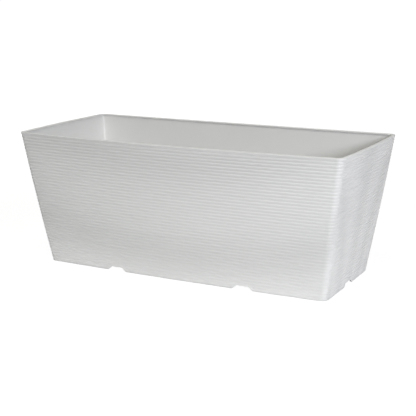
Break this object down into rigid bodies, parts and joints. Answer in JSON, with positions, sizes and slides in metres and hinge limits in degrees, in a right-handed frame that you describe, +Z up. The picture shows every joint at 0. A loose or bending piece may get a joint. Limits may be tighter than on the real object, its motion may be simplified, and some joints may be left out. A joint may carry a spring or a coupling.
{
  "type": "rectangular planter",
  "caption": "Tapered rectangular planter tub with fine horizontal ribs all round, on a notched drainage skirt, with push-in plugs that lift out of the drain holes in its raised floor.",
  "frame": {"origin": "on the ground, at the centre of the footprint", "axes": "+X along the length, -Y towards the front, +Z up"},
  "size_m": [0.5996, 0.2738, 0.234],
  "materials": {
    "tub_plastic": "satin moulded white plastic",
    "plug_rubber": "soft matte black rubber"
  },
  "bodies": {
    "tub": {"planter_tub": "tub_plastic"},
    "plug_front_left": {"drain_plug_front_left": "plug_rubber"},
    "plug_front_right": {"drain_plug_front_right": "plug_rubber"},
    "plug_back_left": {"drain_plug_back_left": "plug_rubber"},
    "plug_back_right": {"drain_plug_back_right": "plug_rubber"}
  },
  "joints": [
    {"name": "lift_plug_front_left", "type": "slide", "parent": "tub", "child": "plug_front_left", "axis": [0, 0, 1], "range_m": [0, 0.25]},
    {"name": "lift_plug_front_right", "type": "slide", "parent": "tub", "child": "plug_front_right", "axis": [0, 0, 1], "range_m": [0, 0.25]},
    {"name": "lift_plug_back_left", "type": "slide", "parent": "tub", "child": "plug_back_left", "axis": [0, 0, 1], "range_m": [0, 0.25]},
    {"name": "lift_plug_back_right", "type": "slide", "parent": "tub", "child": "plug_back_right", "axis": [0, 0, 1], "range_m": [0, 0.25]}
  ]
}
